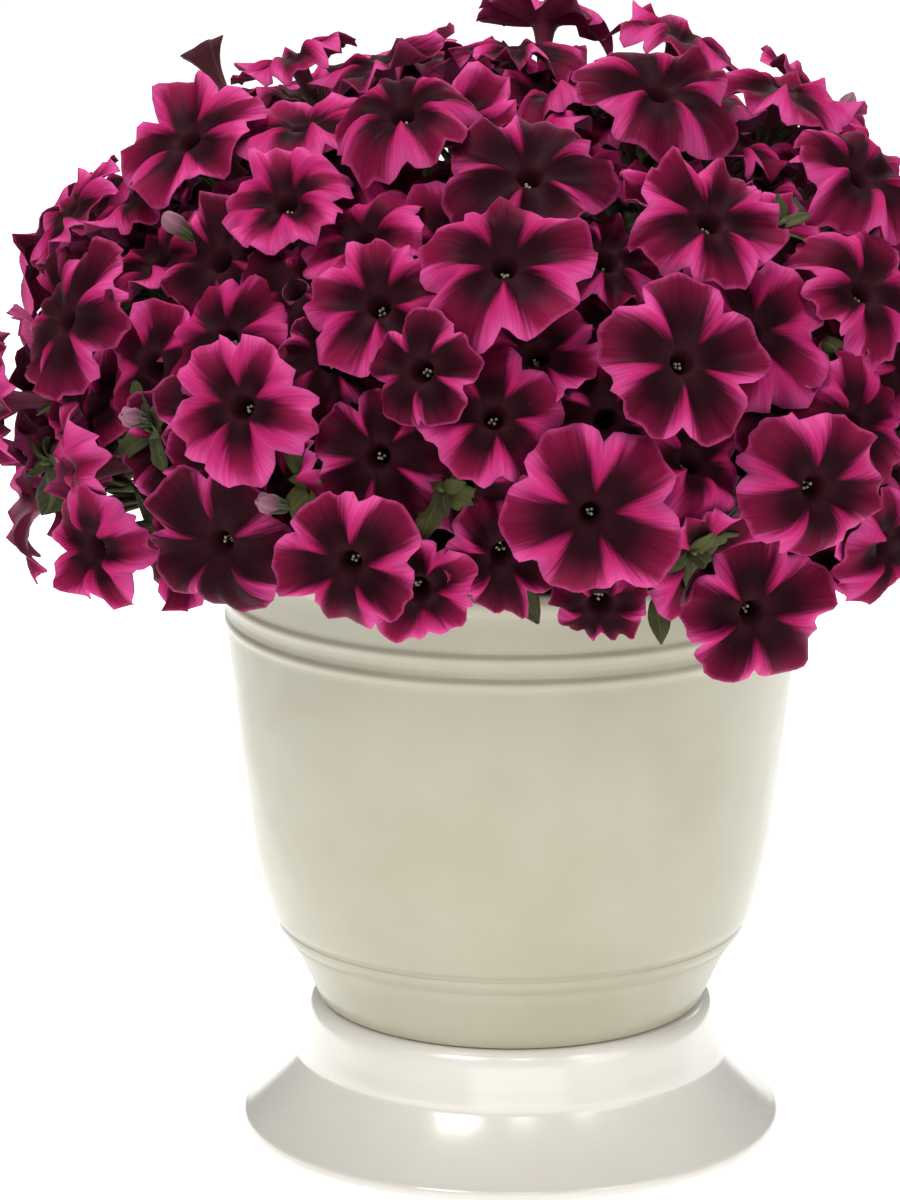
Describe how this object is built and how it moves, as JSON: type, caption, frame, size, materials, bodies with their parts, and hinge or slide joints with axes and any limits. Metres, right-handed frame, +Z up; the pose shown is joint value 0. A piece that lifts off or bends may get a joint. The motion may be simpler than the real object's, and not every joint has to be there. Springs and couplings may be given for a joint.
{
  "type": "petunia urn planter",
  "caption": "Mounded petunia in full flower, magenta with dark stars, in a bell-shaped cream pot that stands on a separate flared pedestal.",
  "frame": {"origin": "on the surface that the pedestal stands on, on the axis of the pot and the pedestal", "axes": "+Z up, the pot's axis; -Y the front; +X to the right seen from the front"},
  "size_m": [0.5203, 0.5269, 0.5702],
  "materials": {
    "pedestal": "gloss",
    "pot": "satin",
    "soil": "matte",
    "leaf": "satin",
    "petal": "matte"
  },
  "bodies": {
    "root": {"pedestal": "pedestal", "pot": "pot", "soil": "soil", "leafy_stem_01": "leaf", "leafy_stem_02": "leaf", "leafy_stem_03": "leaf", "leafy_stem_04": "leaf", "leafy_stem_05": "leaf", "leafy_stem_06": "leaf", "leafy_stem_07": "leaf", "leafy_stem_08": "leaf", "leafy_stem_09": "leaf", "leafy_stem_10": "leaf", "leafy_stem_11": "leaf", "leafy_stem_12": "leaf", "leafy_stem_13": "leaf", "leafy_stem_14": "leaf", "leafy_stem_15": "leaf", "flower_spray_low_01": "petal", "flower_spray_low_02": "petal", "flower_spray_low_03": "petal", "flower_spray_low_04": "petal", "flower_spray_low_05": "petal", "flower_spray_low_06": "petal", "flower_spray_low_07": "petal", "flower_spray_low_08": "petal", "flower_spray_low_09": "petal", "flower_spray_low_10": "petal", "flower_spray_low_11": "petal", "flower_spray_low_12": "petal", "flower_spray_high_01": "petal", "flower_spray_high_02": "petal", "flower_spray_high_03": "petal", "flower_spray_high_04": "petal", "flower_spray_high_05": "petal", "flower_spray_high_06": "petal", "flower_spray_high_07": "petal", "flower_spray_high_08": "petal", "flower_spray_high_09": "petal", "flower_spray_high_10": "petal", "flower_spray_high_11": "petal", "flower_spray_high_12": "petal", "flower_spray_crown_01": "petal", "flower_spray_crown_02": "petal", "flower_spray_crown_03": "petal", "flower_spray_crown_04": "petal", "flower_spray_crown_05": "petal", "flower_spray_crown_06": "petal"}
  },
  "joints": []
}
